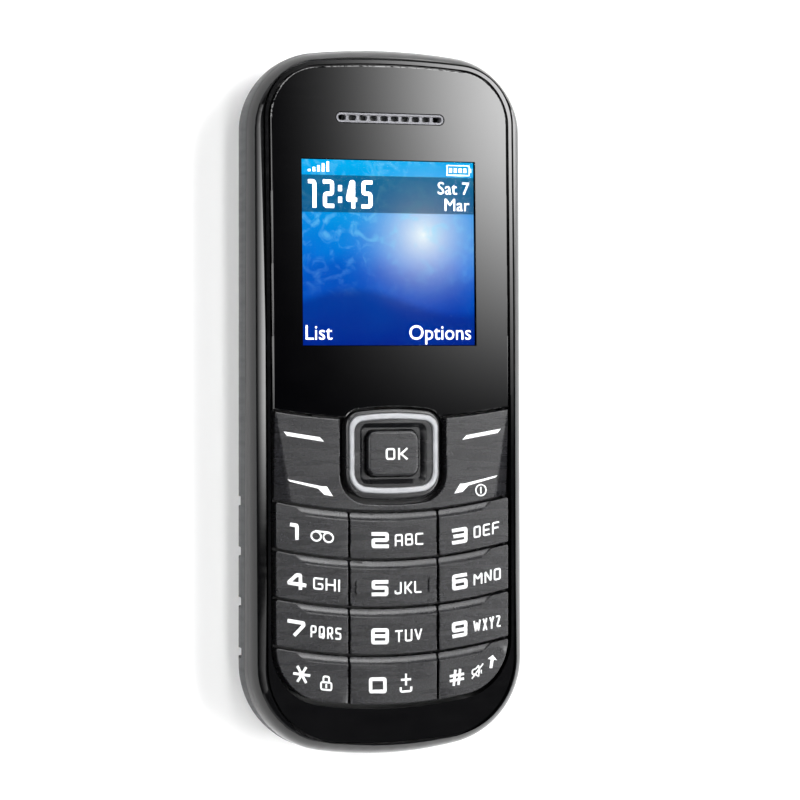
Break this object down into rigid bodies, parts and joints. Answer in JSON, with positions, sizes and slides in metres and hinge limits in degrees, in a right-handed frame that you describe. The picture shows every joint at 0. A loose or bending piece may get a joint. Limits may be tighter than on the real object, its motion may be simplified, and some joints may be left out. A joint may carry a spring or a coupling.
{
  "type": "feature phone",
  "caption": "Candybar keypad phone with a small display, square ring key, numeric keypad, lift-off rear cover, battery, SIM card and vibration motor.",
  "frame": {"origin": "bottom centre of the box, on the flat of the rear cover", "axes": "+Z out of the screen, +Y towards the earpiece, +X to the right as the screen is read"},
  "size_m": [0.045, 0.108, 0.0135],
  "materials": {
    "gloss_black": "moulded, high gloss",
    "window": "clear moulding printed black on its inside",
    "grille": "satin",
    "display_glass": "display glass",
    "white_plastic": "light guide and lamps",
    "flex": "polyimide film",
    "board": "solder mask",
    "tin": "stamped sheet",
    "film": "clear film with metal domes",
    "silicone": "moulded silicone",
    "foam": "foam tape",
    "inner_plastic": "moulded, fine grain",
    "gold": "gold plated spring metal",
    "screw": "dark zinc",
    "cover_matte": "moulded, satin grain",
    "battery_wrap": "printed label over a metal case",
    "card": "card plastic",
    "tungsten": "sintered heavy metal",
    "key_plastic": "fine sparkle grain",
    "trim_silver": "satin silver paint"
  },
  "bodies": {
    "root": {"antenna": "gold", "antenna_springs": "gold", "backlight_frame": "white_plastic", "battery_terminals": "gold", "board_shields": "tin", "charging_socket": "tin", "chassis": "inner_plastic", "chassis_screws": "screw", "display_window": "window", "dome_sheet": "film", "earpiece": "tin", "earpiece_grille": "grille", "front_bezel": "gloss_black", "front_frame": "gloss_black", "headset_jack": "inner_plastic", "keypad_lights": "white_plastic", "keypad_mat": "silicone", "lcd_flex": "flex", "lcd_panel": "display_glass", "loudspeaker": "inner_plastic", "main_board": "board", "microphone": "tin", "microphone_boot": "silicone", "sim_contacts": "inner_plastic", "sim_holder": "tin", "speaker_gasket": "foam", "vibration_motor": "tin", "window_tape": "foam"},
    "cover": {"battery_cover": "cover_matte"},
    "battery": {"battery": "battery_wrap", "battery_pads": "gold"},
    "sim": {"sim_card": "card"},
    "motor_weight": {"vibration_weight": "tungsten"},
    "ok": {"ok_key": "key_plastic"},
    "nav_rocker": {"nav_pad": "silicone"},
    "nav": {"nav_ring": "gloss_black", "nav_trim": "trim_silver"},
    "function_rocker": {"function_pad": "silicone"},
    "function_keys": {"function_plate": "key_plastic"},
    "key_1": {"key_1": "key_plastic"},
    "key_2": {"key_2": "key_plastic"},
    "key_3": {"key_3": "key_plastic"},
    "key_4": {"key_4": "key_plastic"},
    "key_5": {"key_5": "key_plastic"},
    "key_6": {"key_6": "key_plastic"},
    "key_7": {"key_7": "key_plastic"},
    "key_8": {"key_8": "key_plastic"},
    "key_9": {"key_9": "key_plastic"},
    "key_star": {"key_star": "key_plastic"},
    "key_0": {"key_0": "key_plastic"},
    "key_hash": {"key_hash": "key_plastic"}
  },
  "joints": [
    {"name": "cover_lift", "type": "slide", "parent": "root", "child": "cover", "axis": [0, 0, -1], "range_m": [0, 0.012]},
    {"name": "battery_lift", "type": "slide", "parent": "root", "child": "battery", "axis": [0, 0, -1], "range_m": [0, 0.006]},
    {"name": "sim_slide", "type": "slide", "parent": "root", "child": "sim", "axis": [0, 1, 0], "range_m": [0, 0.013]},
    {"name": "motor_spin", "type": "hinge", "parent": "root", "child": "motor_weight", "pos_m": [0.0153, -0.0408, 0.004], "axis": [1, 0, 0], "continuous": true},
    {"name": "ok_press", "type": "slide", "parent": "root", "child": "ok", "axis": [0, 0, -1], "range_m": [0, 0.0003], "stiffness_N_per_m": 1000},
    {"name": "nav_up_down", "type": "hinge", "parent": "root", "child": "nav_rocker", "pos_m": [0, -0.00788, 0.0108], "axis": [1, 0, 0], "range_deg": [-2.5, 2.5], "stiffness_Nm_per_rad": 0.3},
    {"name": "nav_left_right", "type": "hinge", "parent": "nav_rocker", "child": "nav", "pos_m": [0, -0.00788, 0.0108], "axis": [0, 1, 0], "range_deg": [-2.5, 2.5], "stiffness_Nm_per_rad": 0.3},
    {"name": "function_up_down", "type": "hinge", "parent": "root", "child": "function_rocker", "pos_m": [0, -0.00788, 0.0108], "axis": [1, 0, 0], "range_deg": [-1, 1], "stiffness_Nm_per_rad": 0.6},
    {"name": "function_left_right", "type": "hinge", "parent": "function_rocker", "child": "function_keys", "pos_m": [0, -0.00788, 0.0108], "axis": [0, 1, 0], "range_deg": [-1, 1], "stiffness_Nm_per_rad": 0.6},
    {"name": "key_1_press", "type": "slide", "parent": "root", "child": "key_1", "axis": [0, 0, -1], "range_m": [0, 0.0003], "stiffness_N_per_m": 1000},
    {"name": "key_2_press", "type": "slide", "parent": "root", "child": "key_2", "axis": [0, 0, -1], "range_m": [0, 0.0003], "stiffness_N_per_m": 1000},
    {"name": "key_3_press", "type": "slide", "parent": "root", "child": "key_3", "axis": [0, 0, -1], "range_m": [0, 0.0003], "stiffness_N_per_m": 1000},
    {"name": "key_4_press", "type": "slide", "parent": "root", "child": "key_4", "axis": [0, 0, -1], "range_m": [0, 0.0003], "stiffness_N_per_m": 1000},
    {"name": "key_5_press", "type": "slide", "parent": "root", "child": "key_5", "axis": [0, 0, -1], "range_m": [0, 0.0003], "stiffness_N_per_m": 1000},
    {"name": "key_6_press", "type": "slide", "parent": "root", "child": "key_6", "axis": [0, 0, -1], "range_m": [0, 0.0003], "stiffness_N_per_m": 1000},
    {"name": "key_7_press", "type": "slide", "parent": "root", "child": "key_7", "axis": [0, 0, -1], "range_m": [0, 0.0003], "stiffness_N_per_m": 1000},
    {"name": "key_8_press", "type": "slide", "parent": "root", "child": "key_8", "axis": [0, 0, -1], "range_m": [0, 0.0003], "stiffness_N_per_m": 1000},
    {"name": "key_9_press", "type": "slide", "parent": "root", "child": "key_9", "axis": [0, 0, -1], "range_m": [0, 0.0003], "stiffness_N_per_m": 1000},
    {"name": "key_star_press", "type": "slide", "parent": "root", "child": "key_star", "axis": [0, 0, -1], "range_m": [0, 0.0003], "stiffness_N_per_m": 1000},
    {"name": "key_0_press", "type": "slide", "parent": "root", "child": "key_0", "axis": [0, 0, -1], "range_m": [0, 0.0003], "stiffness_N_per_m": 1000},
    {"name": "key_hash_press", "type": "slide", "parent": "root", "child": "key_hash", "axis": [0, 0, -1], "range_m": [0, 0.0003], "stiffness_N_per_m": 1000}
  ],
  "couplings": [
    {"joint": "battery_lift", "follows": "cover_lift", "ratio": 0.5}
  ]
}
